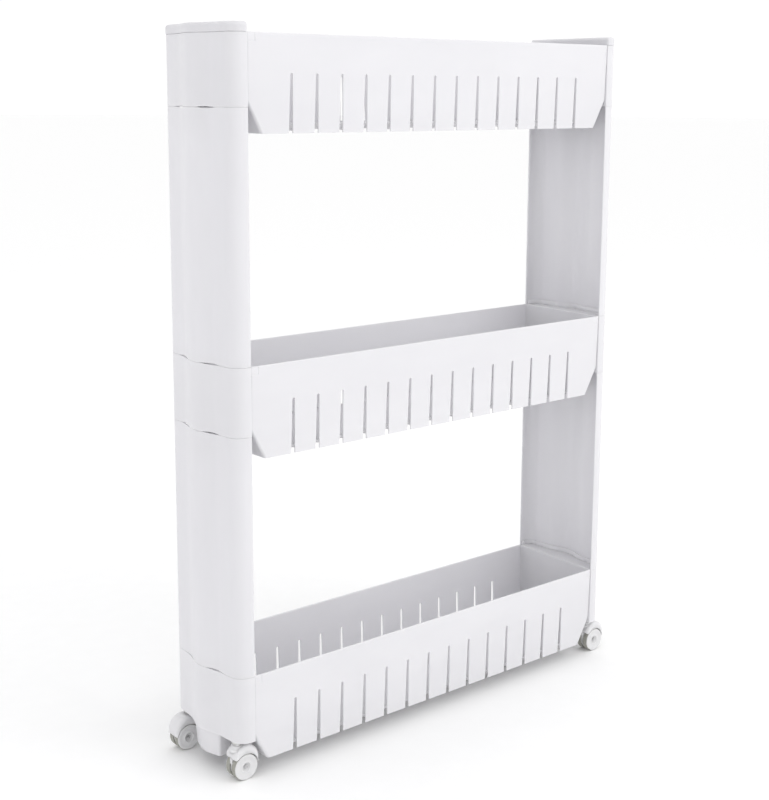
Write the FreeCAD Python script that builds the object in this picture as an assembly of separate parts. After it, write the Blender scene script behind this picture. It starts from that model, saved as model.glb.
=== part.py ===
import FreeCAD, Part
import math
import os

# Slim three-tier rolling pantry cart, in millimetres.
# X runs along the trays, Y across them, Z up. The origin is on the floor, under the centre.

# --- driving dimensions -------------------------------------------------------------
SLOT_PITCH = 29.5                # spacing of the drain slots along a tray
SLOTS_PER_SIDE = 14
TRAY_DEPTH = 91.0                # rim down to the lower edge of the skirt
TIER_SPACING = 306.0             # rim to rim
FLOOR_CLEARANCE = 17.0           # floor up to the lowest skirt
COLUMN_WIDTH = 120.0             # the end columns, across Y
WALL = 2.0                       # moulded wall thickness
END_SECTION_HEIGHT = 67.0        # height of a tray's closed end, the part that the columns meet

BASIN_END_X = 242.0              # outer face of a basin's end wall
BASIN_FOOT_X = 225.0             # the same wall at the skirt's lower edge
BASIN_KINK_DROP = 60.0           # rim down to where the end wall starts to lean inward
BASIN_RIM_WIDTH = 119.0          # basin across Y at the rim
BASIN_FOOT_WIDTH = 114.4         # and at the lower edge
FLOOR_RISE = 4.6                 # skirt's lower edge up to the underside of the floor
FLOOR_THICKNESS = 2.2

SLOT_TOP_DROP = 37.5             # rim down to the top of a slot
SLOT_TOP_WIDTH = 2.8
SLOT_FOOT_WIDTH = 4.8

COLUMN_INNER_X = 241.0           # free edge of the column flanges
CORNER_RADIUS = 15.0
FACE_X = 260.0                   # outer face where the rounded corners end
FACE_CROWN = 2.0                 # rise of the whole face towards its middle
RIB_HEIGHT = 6.0                 # rise of the broad middle rib
RIB_HALF_WIDTH = 30.0
FACE_STATIONS = 16               # intervals of the curve through the outer face

PLUG_HALF_WIDTH = 23.0           # tapered plug under each tray end, pressed into its deck
PLUG_TOP_INSET = 3.0
PLUG_FOOT_INSET = 5.0
PLUG_INNER_X = 242.5             # stays inside the flat part of the outline, as does its bore
PLUG_LENGTH = 26.0               # deck down to its foot
SEAT_RIB_HEIGHT = 5.0            # low rib on each tray end that the column drops over
SEAT_RIB_INSET = 2.4
SEAT_RIB_THICKNESS = 1.6

SEAM_NOTCH_Y = 23.0              # two lens-shaped finger gaps in each column seam
SEAM_NOTCH_CHORD = 24.0
SEAM_NOTCH_DEPTH = 1.6
RIM_POCKET = (8.5, 0.5, 8.0)     # shallow pocket beside each column: along X, deep, tall

CAP_HEIGHT = 9.0
CAP_OVERHANG = 0.5
CAP_EDGE_RADIUS = 3.0

SWIVEL_X = 253.0                 # caster swivel axes
SWIVEL_Y = 45.0
TRAIL = 5.0                      # swivel axis to wheel axis
INWARD_CASTER = "front_left"     # trails inward at rest; the others trail outward
WHEEL_RADIUS = 13.5
WHEEL_WIDTH = 6.6
TREAD_THICKNESS = 1.7
TREAD_EDGE_RADIUS = 0.55
HUB_LIP_THICKNESS = 1.0          # lip on the hub's outer side, which holds the tread
HUB_LIP_DROP = 0.5               # tread down to the lip's edge
HUB_LIP_EDGE_RADIUS = 0.4
WHEEL_GAP = 0.5                  # wheel face to the hood's middle web
WEB_THICKNESS = 3.0
AXLE_RADIUS = 2.0
HUB_RECESS_RADIUS = 4.2
HUB_RECESS_DEPTH = 1.6
RUNNING_FIT = 0.05               # radial clearance of a pin that turns
HOOD_CENTRE = (5.5, 21.5)        # side view, from the swivel axis and the floor
HOOD_RADIUS = 14.5
HOOD_HALF_WIDTH = 9.2
HOOD_CAVITY_RADIUS = 14.1
HOOD_EDGE_RADIUS = 2.4
HOOD_LIP_Z = 16.0                # the hood ends here on the trailing side
HOOD_NOSE_Z = 24.0               # and here on the leading side
STEM_RADIUS = 3.0
STEM_FOOT_Z = 30.0
STEM_TOP_Z = 64.0
STEM_COLLAR = (4.6, 36.0, 38.4)  # radius, low and high end
SOCKET_RADIUS = 4.0
SOCKET_FLANGE = (5.4, 38.7)      # radius and low end
BOSS_RADIUS = 5.6
BOSS_TOP_Z = 66.0

# --- levels worked out from the above -----------------------------------------------
BOTTOM_RIM = FLOOR_CLEARANCE + TRAY_DEPTH
RIMS = {"bottom": BOTTOM_RIM,
        "middle": BOTTOM_RIM + TIER_SPACING,
        "top": BOTTOM_RIM + 2 * TIER_SPACING}
DECK_Z = BOTTOM_RIM - END_SECTION_HEIGHT
HALF_COLUMN = COLUMN_WIDTH / 2
MARGIN = 1.0                     # how far cutters run past a face
TOUCH = 0.1                      # an edge this near to a level counts as lying on it


def vec(x, y, z):
    return FreeCAD.Vector(x, y, z)


def polygon_face(points):
    """Flat face inside a closed polygon."""
    return Part.Face(Part.makePolygon(points + [points[0]]))


def prism_xz(points, half_width):
    """Extrude a polygon given as (x, z) from -half_width to +half_width along Y."""
    face = polygon_face([vec(x, -half_width, z) for x, z in points])
    return face.extrude(vec(0, 2 * half_width, 0))


def prism_yz(points, half_length):
    """Extrude a polygon given as (y, z) from -half_length to +half_length along X."""
    face = polygon_face([vec(-half_length, y, z) for y, z in points])
    return face.extrude(vec(2 * half_length, 0, 0))


def box(x0, x1, y0, y1, z0, z1):
    return Part.makeBox(x1 - x0, y1 - y0, z1 - z0, vec(x0, y0, z0))


def cylinder_z(radius, x, y, z0, z1):
    return Part.makeCylinder(radius, z1 - z0, vec(x, y, z0), vec(0, 0, 1))


def cylinder_y(radius, x, z, y0, y1):
    return Part.makeCylinder(radius, y1 - y0, vec(x, y0, z), vec(0, 1, 0))


def other_end(shape):
    """The same shape at the cart's other end: half a turn about Z."""
    turned = shape.copy()
    turned.rotate(vec(0, 0, 0), vec(0, 0, 1), 180)
    return turned


# --- plan outline of the end columns --------------------------------------------------
def face_x(y):
    """X of the outer face: a shallow crown with a broad rounded rib along its middle."""
    crown = FACE_CROWN * (1 - (y / (HALF_COLUMN - CORNER_RADIUS)) ** 2)
    rib = 0.0
    if abs(y) < RIB_HALF_WIDTH:
        rib = RIB_HEIGHT * math.cos(math.pi * y / (2 * RIB_HALF_WIDTH)) ** 2
    return FACE_X + crown + rib


def column_face(inner_x, inset, z):
    """Plan area of a column at height z, from inner_x out to the outline less the inset."""
    side = HALF_COLUMN - inset
    bend = HALF_COLUMN - CORNER_RADIUS
    radius = CORNER_RADIUS - inset
    centre_x = FACE_X - CORNER_RADIUS
    step = 2 * bend / FACE_STATIONS
    points = []
    for i in range(FACE_STATIONS + 1):
        y = -bend + i * step
        points.append(vec(face_x(y) - inset, y, z))
    curve = Part.BSplineCurve()
    curve.interpolate(points)
    slant = radius * math.sqrt(0.5)
    corner_low = Part.Arc(vec(centre_x, -side, z), vec(centre_x + slant, -bend - slant, z), points[0])
    corner_high = Part.Arc(points[-1], vec(centre_x + slant, bend + slant, z), vec(centre_x, side, z))
    edges = [
        Part.makeLine(vec(inner_x, -side, z), vec(centre_x, -side, z)),
        corner_low.toShape(),
        curve.toShape(),
        corner_high.toShape(),
        Part.makeLine(vec(centre_x, side, z), vec(inner_x, side, z)),
        Part.makeLine(vec(inner_x, side, z), vec(inner_x, -side, z)),
    ]
    return Part.Face(Part.Wire(edges))


def column_solid(inner_x, inset, z0, z1):
    return column_face(inner_x, inset, z0).extrude(vec(0, 0, z1 - z0))


# --- trays ----------------------------------------------------------------------------
def basin_envelope(rim, inset, overrun):
    """Tapered block of the basin: its outside for no inset, its inside for one wall."""
    foot = rim - TRAY_DEPTH
    kink = rim - BASIN_KINK_DROP
    lean = (BASIN_END_X - BASIN_FOOT_X) / (kink - foot)
    draft = (BASIN_RIM_WIDTH - BASIN_FOOT_WIDTH) / 2 / TRAY_DEPTH
    end_x = BASIN_END_X - inset
    foot_x = BASIN_FOOT_X - inset - overrun * lean
    profile = [(-end_x, rim + overrun), (-end_x, kink), (-foot_x, foot - overrun),
               (foot_x, foot - overrun), (end_x, kink), (end_x, rim + overrun)]
    top_y = BASIN_RIM_WIDTH / 2 - inset + overrun * draft
    foot_y = BASIN_FOOT_WIDTH / 2 - inset - overrun * draft
    section = [(-top_y, rim + overrun), (-foot_y, foot - overrun),
               (foot_y, foot - overrun), (top_y, rim + overrun)]
    return prism_xz(profile, HALF_COLUMN).common(prism_yz(section, BASIN_END_X + MARGIN))


def drain_slots(rim):
    """Cutters for the tapered slots of both long sides, open through the skirt's edge."""
    foot = rim - TRAY_DEPTH - MARGIN
    top = rim - SLOT_TOP_DROP
    cutters = []
    for i in range(SLOTS_PER_SIDE):
        x = (i - (SLOTS_PER_SIDE - 1) / 2) * SLOT_PITCH
        outline = [(x - SLOT_TOP_WIDTH / 2, top), (x - SLOT_FOOT_WIDTH / 2, foot),
                   (x + SLOT_FOOT_WIDTH / 2, foot), (x + SLOT_TOP_WIDTH / 2, top)]
        wedge = prism_xz(outline, HALF_COLUMN)
        rounded_top = cylinder_y(SLOT_TOP_WIDTH / 2, x, top, -HALF_COLUMN, HALF_COLUMN)
        cutters.append(wedge.fuse(rounded_top))
    return Part.makeCompound(cutters)


def basin(rim):
    """Open basin: slotted walls first, then the floor, so that the floor stays whole."""
    foot = rim - TRAY_DEPTH
    inside = basin_envelope(rim, WALL, MARGIN)
    walls = basin_envelope(rim, 0.0, 0.0).cut(inside).cut(drain_slots(rim))
    low = foot + FLOOR_RISE
    slab = box(-BASIN_END_X, BASIN_END_X, -HALF_COLUMN, HALF_COLUMN, low, low + FLOOR_THICKNESS)
    return walls.fuse(inside.common(slab))


def rim_pockets(rim):
    """Shallow pockets in the outer faces of the rim, one beside each column."""
    length, depth, height = RIM_POCKET
    cutters = []
    for side in (-1, 1):
        for end in (-1, 1):
            x_far = end * COLUMN_INNER_X
            x_near = end * (COLUMN_INNER_X - length)
            y_in = side * (BASIN_RIM_WIDTH / 2 - depth)
            y_out = side * HALF_COLUMN
            cutters.append(box(min(x_far, x_near), max(x_far, x_near),
                               min(y_in, y_out), max(y_in, y_out), rim - height, rim + MARGIN))
    return Part.makeCompound(cutters)


def plug_block(extra_inset, z0, z1, inner_x):
    """Tapered block under a tray end: the column's outline, cut off at the plug's two sides."""
    half = PLUG_HALF_WIDTH - extra_inset
    high = column_face(inner_x, PLUG_TOP_INSET + extra_inset, z1)
    low = column_face(inner_x, PLUG_FOOT_INSET + extra_inset, z0)
    body = Part.makeLoft([low.OuterWire, high.OuterWire], True, True)
    return body.common(box(0, BASIN_END_X * 2, -half, half, z0, z1))


def plug_outside(rim):
    """Outer form of the plug, which is also the hole that it fills in the deck."""
    deck = rim - END_SECTION_HEIGHT
    return plug_block(0.0, deck - PLUG_LENGTH, deck + WALL, PLUG_INNER_X)


def plug(tier):
    """Hollow plug at +X, open above and below, with its top flush with the deck's."""
    rim = RIMS[tier]
    deck = rim - END_SECTION_HEIGHT
    bore = plug_block(WALL, deck - PLUG_LENGTH - MARGIN, deck + WALL + MARGIN, PLUG_INNER_X + WALL)
    return plug_outside(rim).cut(bore)


def end_section(rim):
    """Hollow closed end of a tray at +X, with its seat rib above and the plug's hole below."""
    deck = rim - END_SECTION_HEIGHT
    shell = column_solid(BASIN_END_X - WALL, 0.0, deck, rim)
    rib = column_solid(COLUMN_INNER_X + WALL, SEAT_RIB_INSET, rim, rim + SEAT_RIB_HEIGHT)
    rib = rib.cut(column_solid(COLUMN_INNER_X, SEAT_RIB_INSET + SEAT_RIB_THICKNESS,
                               rim, rim + SEAT_RIB_HEIGHT))
    solid = shell.fuse(rib)
    solid = solid.cut(column_solid(BASIN_END_X, WALL, deck + WALL, rim - WALL))
    return solid.cut(plug_outside(rim))


def caster_bosses():
    """Tubes inside the lowest tray's ends, one for each caster socket, at the +X end."""
    tubes = [cylinder_z(BOSS_RADIUS, SWIVEL_X, side * SWIVEL_Y, DECK_Z, BOSS_TOP_Z)
             for side in (-1, 1)]
    bores = [cylinder_z(SOCKET_RADIUS, SWIVEL_X, side * SWIVEL_Y, DECK_Z - MARGIN, BOSS_TOP_Z + MARGIN)
             for side in (-1, 1)]
    return Part.makeCompound(tubes), Part.makeCompound(bores)


def tray(tier):
    """One tray: the basin and both of its hollow ends in a single moulding."""
    rim = RIMS[tier]
    end = end_section(rim)
    if tier == "bottom":
        tubes, bores = caster_bosses()
        for tube in tubes.Solids:
            end = end.fuse(tube)
        end = end.cut(bores)
    if tier != "top":
        end = end.cut(seam_notches(rim))
    if tier != "bottom":
        end = end.cut(seam_notches(rim - END_SECTION_HEIGHT))
    whole = basin(rim).cut(rim_pockets(rim)).fuse([end, other_end(end)])
    return whole.removeSplitter()


# --- columns and caps -------------------------------------------------------------------
def seam_notches(z):
    """Lens-shaped cutters across the outer face at a seam, half above it and half below."""
    rise = SEAM_NOTCH_DEPTH / 2
    radius = SEAM_NOTCH_CHORD ** 2 / (8 * rise) + rise / 2
    drop = radius - rise
    lenses = []
    for side in (-1, 1):
        discs = [Part.makeCylinder(radius, 2 * CORNER_RADIUS,
                                   vec(FACE_X - 2 * WALL, side * SEAM_NOTCH_Y, z + way * drop), vec(1, 0, 0))
                 for way in (-1, 1)]
        lenses.append(discs[0].common(discs[1]))
    return Part.makeCompound(lenses)


def upright(lower_tier, upper_tier):
    """Channel between two trays at +X: outer face, rounded corners and two flanges."""
    z0 = RIMS[lower_tier]
    z1 = RIMS[upper_tier] - END_SECTION_HEIGHT
    channel = column_solid(COLUMN_INNER_X, 0.0, z0, z1)
    hollow = column_solid(COLUMN_INNER_X - MARGIN, WALL, z0 - MARGIN, z1 + MARGIN)
    return channel.cut(hollow).cut(seam_notches(z0)).cut(seam_notches(z1))


def end_cap():
    """Rounded cover over the top tray's +X end, hollow underneath."""
    z0 = RIMS["top"]
    z1 = z0 + CAP_HEIGHT
    block = column_solid(COLUMN_INNER_X, -CAP_OVERHANG, z0, z1)
    rim_edges = [edge for edge in block.Edges
                 if min(v.Point.z for v in edge.Vertexes) > z1 - TOUCH]
    block = block.makeFillet(CAP_EDGE_RADIUS, rim_edges)
    hollow = column_solid(COLUMN_INNER_X + WALL - RUNNING_FIT, WALL, z0 - MARGIN, z1 - WALL)
    return block.cut(hollow)


# --- casters ------------------------------------------------------------------------------
def caster_socket():
    """Sleeve pressed into the tray's boss, with a flange under the deck."""
    radius, low = SOCKET_FLANGE
    sleeve = cylinder_z(SOCKET_RADIUS, 0, 0, DECK_Z, BOSS_TOP_Z)
    flange = cylinder_z(radius, 0, 0, low, DECK_Z)
    bore = cylinder_z(STEM_RADIUS + RUNNING_FIT, 0, 0, low - MARGIN, BOSS_TOP_Z + MARGIN)
    return sleeve.fuse(flange).cut(bore).removeSplitter()


def caster_stem():
    """Steel swivel pin with a collar on the hood and a chamfered top."""
    radius, low, high = STEM_COLLAR
    pin = cylinder_z(STEM_RADIUS, 0, 0, STEM_FOOT_Z, STEM_TOP_Z - MARGIN)
    tip = Part.makeCone(STEM_RADIUS, STEM_RADIUS - MARGIN, MARGIN, vec(0, 0, STEM_TOP_Z - MARGIN))
    return pin.fuse(tip).fuse(cylinder_z(radius, 0, 0, low, high)).removeSplitter()


def caster_hood():
    """Rounded hood over the twin wheels, with a web between them that holds the axle."""
    centre_x, centre_z = HOOD_CENTRE
    drum = cylinder_y(HOOD_RADIUS, centre_x, centre_z, -HOOD_HALF_WIDTH, HOOD_HALF_WIDTH)
    drum = drum.makeFillet(HOOD_EDGE_RADIUS, [e for e in drum.Edges if e.Closed])
    boss_radius, boss_top, _ = STEM_COLLAR
    drum = drum.fuse(cylinder_z(boss_radius + MARGIN, 0, 0, centre_z, boss_top))
    reach = 2 * HOOD_RADIUS
    below = box(TRAIL, reach, -reach, reach, -reach, HOOD_LIP_Z)
    below = below.fuse(box(-reach, TRAIL, -reach, reach, -reach, HOOD_NOSE_Z))
    hood = drum.cut(below)
    half_web = WEB_THICKNESS / 2
    wheel_room = cylinder_y(HOOD_CAVITY_RADIUS, TRAIL, WHEEL_RADIUS, -reach, reach)
    hood = hood.cut(wheel_room)
    web = cylinder_y(HOOD_RADIUS - MARGIN, centre_x, centre_z, -half_web, half_web)
    hood = hood.fuse(web)
    hood = hood.cut(cylinder_y(AXLE_RADIUS, TRAIL, WHEEL_RADIUS, -reach, reach))
    return hood.cut(cylinder_z(STEM_RADIUS, 0, 0, STEM_FOOT_Z, boss_top + MARGIN)).removeSplitter()


def caster_axle():
    """Steel pin through the web, a little short of the wheels' outer faces."""
    half = WEB_THICKNESS / 2 + WHEEL_GAP + WHEEL_WIDTH - MARGIN
    return cylinder_y(AXLE_RADIUS, TRAIL, WHEEL_RADIUS, -half, half)


def wheel_hub(side):
    """Wheel disc with a round recess in its outer face; side is -1 or +1 along Y."""
    near = WEB_THICKNESS / 2 + WHEEL_GAP
    far = near + WHEEL_WIDTH
    rim_radius = WHEEL_RADIUS - TREAD_THICKNESS
    disc = cylinder_y(rim_radius, TRAIL, WHEEL_RADIUS, near, far)
    lip = cylinder_y(WHEEL_RADIUS - HUB_LIP_DROP, TRAIL, WHEEL_RADIUS, far - HUB_LIP_THICKNESS, far)
    outer_edges = [e for e in lip.Edges if e.Closed and e.BoundBox.YMax > far - TOUCH]
    lip = lip.makeFillet(HUB_LIP_EDGE_RADIUS, outer_edges)
    disc = disc.fuse(lip)
    disc = disc.cut(cylinder_y(HUB_RECESS_RADIUS, TRAIL, WHEEL_RADIUS, far - HUB_RECESS_DEPTH, far + MARGIN))
    disc = disc.cut(cylinder_y(AXLE_RADIUS + RUNNING_FIT, TRAIL, WHEEL_RADIUS, 0, far + MARGIN))
    disc = disc.removeSplitter()
    return disc if side > 0 else disc.mirror(vec(0, 0, 0), vec(0, 1, 0))


def wheel_tread(side):
    """Band around the wheel disc, between the hub's inner face and its side lip."""
    near = WEB_THICKNESS / 2 + WHEEL_GAP
    far = near + WHEEL_WIDTH - HUB_LIP_THICKNESS
    band = cylinder_y(WHEEL_RADIUS, TRAIL, WHEEL_RADIUS, near, far)
    band = band.makeFillet(TREAD_EDGE_RADIUS, [e for e in band.Edges if e.Closed])
    band = band.cut(cylinder_y(WHEEL_RADIUS - TREAD_THICKNESS, TRAIL, WHEEL_RADIUS, 0, far + MARGIN))
    return band if side > 0 else band.mirror(vec(0, 0, 0), vec(0, 1, 0))


def caster_nodes(name, end, side):
    """All pieces of one caster at its corner; way is the end that it trails towards."""
    way = -end if name == INWARD_CASTER else end
    pieces = {
        "socket": caster_socket(),
        "stem": caster_stem(),
        "hood": caster_hood(),
        "axle": caster_axle(),
        "wheel_inner_hub": wheel_hub(-side * way),
        "wheel_inner_tread": wheel_tread(-side * way),
        "wheel_outer_hub": wheel_hub(side * way),
        "wheel_outer_tread": wheel_tread(side * way),
    }
    placed = {}
    for piece, shape in pieces.items():
        if way < 0:
            shape = other_end(shape)
        shape.translate(vec(end * SWIVEL_X, side * SWIVEL_Y, 0))
        placed["caster_%s_%s" % (name, piece)] = shape
    return placed


# --- the whole cart -------------------------------------------------------------------------
def cart_nodes():
    nodes = {}
    for tier in RIMS:
        nodes["tray_%s" % tier] = tray(tier)
        nodes["plug_%s_right" % tier] = plug(tier)
        nodes["plug_%s_left" % tier] = other_end(plug(tier))
    for level, lower, upper in (("lower", "bottom", "middle"), ("upper", "middle", "top")):
        channel = upright(lower, upper)
        nodes["upright_%s_right" % level] = channel
        nodes["upright_%s_left" % level] = other_end(channel)
    cap = end_cap()
    nodes["end_cap_right"] = cap
    nodes["end_cap_left"] = other_end(cap)
    for depth_word, side in (("front", -1), ("rear", 1)):
        for end_word, end in (("left", -1), ("right", 1)):
            nodes.update(caster_nodes("%s_%s" % (depth_word, end_word), end, side))
    return nodes


os.makedirs("parts", exist_ok=True)
for node_name, node_shape in cart_nodes().items():
    bounds = node_shape.BoundBox
    print("%-36s solids %d valid %s volume %9.1f mm3  x %.1f..%.1f y %.1f..%.1f z %.1f..%.1f" % (
        node_name, len(node_shape.Solids), node_shape.isValid(), node_shape.Volume,
        bounds.XMin, bounds.XMax, bounds.YMin, bounds.YMax, bounds.ZMin, bounds.ZMax))
    node_shape.exportStep("parts/%s.step" % node_name)
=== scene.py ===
import logging
import math
from dataclasses import dataclass, field
from enum import Enum

import bpy
import numpy as np
from mathutils import Matrix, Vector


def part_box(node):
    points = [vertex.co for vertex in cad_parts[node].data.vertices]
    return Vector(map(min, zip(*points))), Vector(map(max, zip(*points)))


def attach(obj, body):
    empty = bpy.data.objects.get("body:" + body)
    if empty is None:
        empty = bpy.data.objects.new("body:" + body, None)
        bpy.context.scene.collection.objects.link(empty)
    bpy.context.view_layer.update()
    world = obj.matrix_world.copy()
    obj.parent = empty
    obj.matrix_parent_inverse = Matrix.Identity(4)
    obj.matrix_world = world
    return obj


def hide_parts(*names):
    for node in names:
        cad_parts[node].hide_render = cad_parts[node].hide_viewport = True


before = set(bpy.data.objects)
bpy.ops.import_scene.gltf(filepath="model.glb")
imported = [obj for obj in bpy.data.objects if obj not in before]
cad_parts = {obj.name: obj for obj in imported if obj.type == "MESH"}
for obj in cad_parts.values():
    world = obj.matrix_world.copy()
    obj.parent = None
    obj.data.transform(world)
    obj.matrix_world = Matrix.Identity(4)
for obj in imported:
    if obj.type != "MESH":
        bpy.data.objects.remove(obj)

LOG = logging.getLogger("pantry_cart")
MM = 0.001


# --- mesh helpers ---

def quads(rows: int, cols: int, wrap_rows: bool = False, wrap_cols: bool = False) -> np.ndarray:
    """Quads of a grid whose vertex (i, j) has number i * cols + j.

    Args:
        rows: Number of vertex rows.
        cols: Number of vertices in a row.
        wrap_rows: Join the last row to the first.
        wrap_cols: Join the last column to the first.

    Returns:
        Vertex numbers of shape (faces, 4), each face along its row first and then up.
    """
    i, j = np.meshgrid(np.arange(rows if wrap_rows else rows - 1),
                       np.arange(cols if wrap_cols else cols - 1), indexing="ij")
    up, right = (i + 1) % rows, (j + 1) % cols
    return np.stack([i * cols + j, i * cols + right, up * cols + right, up * cols + j], -1).reshape(-1, 4)


@dataclass
class Shape:
    """Vertices and quads that are gathered into one mesh.

    Attributes:
        points: Vertex positions.
        faces: Four vertex numbers for each face.
    """

    points: np.ndarray = field(default_factory=lambda: np.zeros((0, 3)))
    faces: np.ndarray = field(default_factory=lambda: np.zeros((0, 4), dtype=int))

    def add(self, points: np.ndarray, faces: np.ndarray) -> "Shape":
        """Append a patch.

        Args:
            points: Its vertices, of any shape that ends in 3.
            faces: Its quads, numbered from its own first vertex.

        Returns:
            This shape.
        """
        flat = np.asarray(points, dtype=float).reshape(-1, 3)
        self.faces = np.vstack([self.faces, faces + len(self.points)])
        self.points = np.vstack([self.points, flat])
        return self

    def join(self, other: "Shape") -> "Shape":
        """Append all of another shape and return this one."""
        return self.add(other.points, other.faces)

    def moved(self, x: float = 0.0, y: float = 0.0, z: float = 0.0) -> "Shape":
        """Return a copy moved by x, y and z."""
        return Shape(self.points + np.array([x, y, z]), self.faces.copy())

    def turned(self) -> "Shape":
        """Return a copy turned half way round the vertical through the origin."""
        return Shape(self.points * np.array([-1.0, -1.0, 1.0]), self.faces.copy())

    def both_ends(self) -> list:
        """Return this shape, made for the +X end, and its copy at the other, each with its word."""
        return [("right", self), ("left", self.turned())]

    def mirrored_y(self) -> "Shape":
        """Return a copy mirrored in Y, with its faces still pointing outwards."""
        return Shape(self.points * np.array([1.0, -1.0, 1.0]), self.faces[:, ::-1].copy())

    def build(self, name: str, weld: float = 0.02 * MM) -> bpy.types.Object:
        """Make the mesh object.

        Vertices nearer than the weld distance become one, and faces left with fewer than three
        corners are dropped.

        Args:
            name: Name of the object.
            weld: Merge distance.

        Returns:
            The new object, at the origin.
        """
        keys = np.round(self.points / weld).astype(np.int64)
        _, first, new_number = np.unique(keys, axis=0, return_index=True, return_inverse=True)
        faces = new_number.reshape(-1)[self.faces]
        repeats = (faces == np.roll(faces, -1, axis=1)).sum(axis=1)
        faces = faces[repeats < 2]
        keep = faces != np.roll(faces, -1, axis=1)
        in_use, corners = np.unique(faces[keep], return_inverse=True)
        first = first[in_use]
        sizes = keep.sum(axis=1)
        mesh = bpy.data.meshes.new(name)
        mesh.vertices.add(len(first))
        mesh.vertices.foreach_set("co", self.points[first].astype(np.float32).ravel())
        mesh.loops.add(len(corners))
        mesh.loops.foreach_set("vertex_index", corners.astype(np.int32))
        mesh.polygons.add(len(sizes))
        mesh.polygons.foreach_set("loop_start", (np.cumsum(sizes) - sizes).astype(np.int32))
        mesh.update(calc_edges=True)
        mesh.validate()
        mesh.polygons.foreach_set("use_smooth", np.ones(len(mesh.polygons), dtype=bool))
        made = bpy.data.objects.new(name, mesh)
        bpy.context.scene.collection.objects.link(made)
        return made


def thick_sheet(layers: np.ndarray, kept: np.ndarray) -> Shape:
    """Closed wall from copies of one grid, stacked from its outer face to its inner face.

    Wherever a kept cell meets a missing one, a strip runs through all the layers.

    Args:
        layers: Grids of shape (layers, rows, columns, 3). Rows run down, and columns close on
            themselves counter-clockwise seen from above.
        kept: Which cells exist, of shape (rows - 1, columns).

    Returns:
        The closed wall.
    """
    count, rows, cols = layers.shape[:3]
    number = np.arange(rows * cols).reshape(rows, cols)
    after = np.roll(number, -1, axis=1)
    cells = np.stack([number[:-1], number[1:], after[1:], after[:-1]], -1)[kept]
    shape = Shape(layers.reshape(-1, 3), np.vstack([cells, cells[:, ::-1] + (count - 1) * rows * cols]))
    gone = np.zeros((1, cols), dtype=bool)
    above, below = np.vstack([gone, kept]), np.vstack([kept, gone])
    before = np.roll(kept, 1, axis=1)
    rims = [np.stack([number, after], -1)[below & ~above], np.stack([after, number], -1)[above & ~below],
            np.stack([number[1:], number[:-1]], -1)[kept & ~before],
            np.stack([number[:-1], number[1:]], -1)[before & ~kept]]
    edge = np.vstack(rims)
    for layer in range(count - 1):
        near, far = edge + layer * rows * cols, edge + (layer + 1) * rows * cols
        shape.faces = np.vstack([shape.faces, np.stack([near[:, 0], near[:, 1], far[:, 1], far[:, 0]], -1)])
    return shape


def arc(centre: tuple, radius: float, start: float, end: float, steps: int) -> np.ndarray:
    """Arc in a plane: the centre plus the radius times (cos a, sin a), for evenly spaced angles a.

    Args:
        centre: The centre's two coordinates.
        radius: Radius.
        start: First angle, in degrees.
        end: Last angle, in degrees.
        steps: Number of intervals.

    Returns:
        An array of shape (steps + 1, 2).
    """
    a = np.radians(np.linspace(start, end, steps + 1))
    return np.stack([centre[0] + radius * np.cos(a), centre[1] + radius * np.sin(a)], -1)


def rounded_loop(u0: float, u1: float, v0: float, v1: float, radius: float, steps: int = 3,
                 v_inner: tuple = ()) -> np.ndarray:
    """Rectangle with a quarter arc at each corner: up at low u, across, down and back.

    Args:
        u0: Low limit across.
        u1: High limit across.
        v0: Low limit upwards.
        v1: High limit upwards.
        radius: Corner radius.
        steps: Intervals in each corner.
        v_inner: Rising heights of extra points on both upright sides.

    Returns:
        An array of shape (points, 2).
    """
    rise = np.array([[u0, v] for v in v_inner]).reshape(-1, 2)
    fall = np.array([[u1, v] for v in reversed(v_inner)]).reshape(-1, 2)
    return np.vstack([
        arc((u0 + radius, v0 + radius), radius, 270, 180, steps),
        rise,
        arc((u0 + radius, v1 - radius), radius, 180, 90, steps),
        arc((u1 - radius, v1 - radius), radius, 90, 0, steps),
        fall,
        arc((u1 - radius, v0 + radius), radius, 0, -90, steps),
    ])


def revolve(profile: np.ndarray, x: float, y: float, z: float, steps: int, along_y: bool) -> Shape:
    """Turn a closed profile: (r, h) becomes (r cos a, r sin a) across the axis and h along it.

    Args:
        profile: Loop of (r, h) points, counter-clockwise with r to the right.
        x: Axis position.
        y: Axis position.
        z: Axis position.
        steps: Number of intervals round.
        along_y: True for an axis along Y, False for one along Z.

    Returns:
        The closed surface.
    """
    a = np.linspace(0.0, 2 * math.pi, steps, endpoint=False)
    r, h = profile[:, 0][:, None], profile[:, 1][:, None]
    across, other = r * np.cos(a), r * np.sin(a)
    height = np.broadcast_to(h, across.shape)
    if along_y:
        points = np.stack([x + other, y + height, z + across], -1)
    else:
        points = np.stack([x + across, y + other, z + height], -1)
    return Shape().add(points, quads(len(profile), steps, True, True))


def strip_cap(first: int, count: int, upward: bool) -> np.ndarray:
    """Ladder of quads across an outline, whose point j mirrors its point count - 1 - j.

    Args:
        first: Number of the outline's first vertex.
        count: Points in the outline.
        upward: True if the face points up, for a counter-clockwise outline.

    Returns:
        The quads.
    """
    j = np.arange(count // 2 - 1 + count % 2)
    far = count - 1 - j
    ladder = np.stack([j, j + 1, far - 1, far], -1) + first
    return ladder if upward else ladder[:, ::-1]


# --- finishes ---

class Slot(Enum):
    """Material slots of the record that the pieces take their finish from."""

    TRAY = "tray_plastic"
    COLUMN = "column_plastic"
    CAP = "cap_plastic"
    CASTER = "caster_plastic"
    SOCKET = "socket_plastic"
    WHEEL = "wheel_plastic"
    TREAD = "tread"
    STEEL = "steel"


Socket = bpy.types.NodeSocket


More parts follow.
